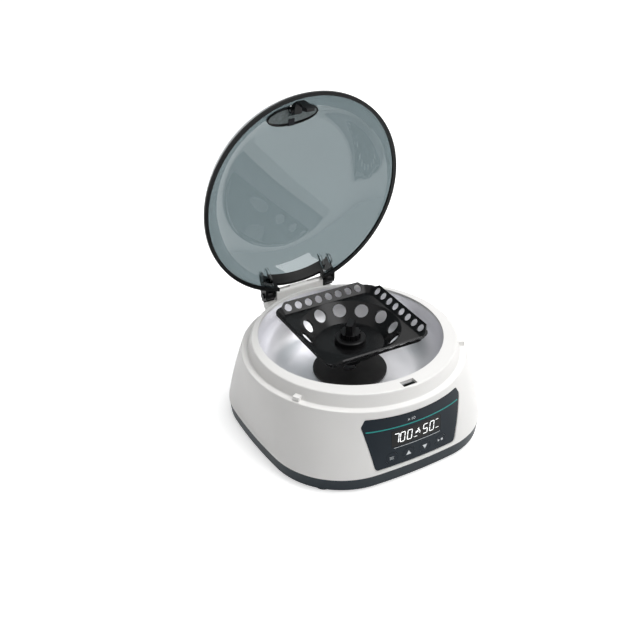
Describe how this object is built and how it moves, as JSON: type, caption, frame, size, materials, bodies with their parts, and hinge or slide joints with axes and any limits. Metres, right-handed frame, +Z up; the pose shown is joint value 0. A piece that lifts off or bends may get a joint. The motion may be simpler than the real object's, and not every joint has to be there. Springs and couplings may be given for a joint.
{
  "type": "bench centrifuge",
  "caption": "Compact high-speed bench centrifuge with a rounded white case, an open hinged smoked lid, a tray rotor for tubes and strips, and a front control panel.",
  "frame": {"origin": "on the surface the feet stand on, under the middle of the whole object with its lid open", "axes": "+X to the operator's right, the control panel faces -Y, +Z up"},
  "size_m": [0.1786, 0.1966, 0.2439],
  "materials": {
    "white_case": "satin moulded",
    "dark_base": "fine texture",
    "black_trim": "satin moulded",
    "smoked_lid": "clear, tinted",
    "rotor_black": "polished",
    "bowl_metal": "satin anodised",
    "rubber_black": "matt",
    "steel": "zinc plated",
    "motor_metal": "cast, bead blasted",
    "core_iron": "laminated",
    "winding": "enamelled wire",
    "magnet": "sintered, coated",
    "board_green": "solder mask",
    "component_dark": "moulded",
    "panel_print": "printed film",
    "lens_black": "polished",
    "key_face": "printed film",
    "brass_pin": "nickel plated"
  },
  "bodies": {
    "case": {"upper_housing": "white_case", "base_pan": "dark_base", "rubber_feet": "rubber_black", "base_screws": "steel", "chamber_bowl": "bowl_metal", "chamber_pad": "rubber_black", "bowl_screws": "steel", "strike_plate": "steel", "strike_screws": "steel", "rubber_mounts": "rubber_black", "motor_plate": "steel", "mount_nuts": "steel", "motor_can": "motor_metal", "motor_screws": "steel", "lower_bearing": "steel", "upper_bearing": "steel", "stator_core": "core_iron", "stator_coils": "winding", "hinge_pins": "steel", "panel_film": "panel_print", "display_cover": "lens_black", "display_module": "component_dark", "control_board": "board_green", "board_screws": "steel", "key_switches": "component_dark", "drive_board": "board_green", "drive_parts": "component_dark", "drive_screws": "steel", "switch_bezel": "black_trim", "power_jack": "black_trim", "jack_pin": "brass_pin"},
    "lid": {"lid_frame": "black_trim", "lid_dome": "smoked_lid", "lever_collar": "black_trim", "lever_pin": "steel", "lever_spring": "steel"},
    "lever": {"release_lever": "black_trim"},
    "rotor": {"rotor_tray": "rotor_black", "rotor_knob": "black_trim", "drive_shaft": "steel", "magnet_rotor": "magnet"},
    "rocker": {"power_rocker": "black_trim"},
    "key_left": {"key_1": "key_face"},
    "key_up": {"key_2": "key_face"},
    "key_down": {"key_3": "key_face"},
    "key_right": {"key_4": "key_face"}
  },
  "joints": [
    {"name": "lid_hinge", "type": "hinge", "parent": "case", "child": "lid", "pos_m": [0, 0.07784, 0.07286], "axis": [1, 0, 0], "range_deg": [0, 85.6]},
    {"name": "lever_tilt", "type": "hinge", "parent": "lid", "child": "lever", "pos_m": [0, 0.07698, 0.22604], "axis": [-1, 0, 0], "range_deg": [0, 5], "stiffness_Nm_per_rad": 0.08, "deforming": ["lever_spring"]},
    {"name": "rotor_spin", "type": "hinge", "parent": "case", "child": "rotor", "pos_m": [0, -0.00426, 0.0778], "axis": [0, 0, 1], "continuous": true},
    {"name": "rocker_tilt", "type": "hinge", "parent": "case", "child": "rocker", "pos_m": [-0.016, 0.07604, 0.0245], "axis": [-1, 0, 0], "range_deg": [0, 16]},
    {"name": "key_left_press", "type": "slide", "parent": "case", "child": "key_left", "axis": [0, 1, 0], "range_m": [0, 0.0005], "stiffness_N_per_m": 600},
    {"name": "key_up_press", "type": "slide", "parent": "case", "child": "key_up", "axis": [0, 1, 0], "range_m": [0, 0.0005], "stiffness_N_per_m": 600},
    {"name": "key_down_press", "type": "slide", "parent": "case", "child": "key_down", "axis": [0, 1, 0], "range_m": [0, 0.0005], "stiffness_N_per_m": 600},
    {"name": "key_right_press", "type": "slide", "parent": "case", "child": "key_right", "axis": [0, 1, 0], "range_m": [0, 0.0005], "stiffness_N_per_m": 600}
  ]
}
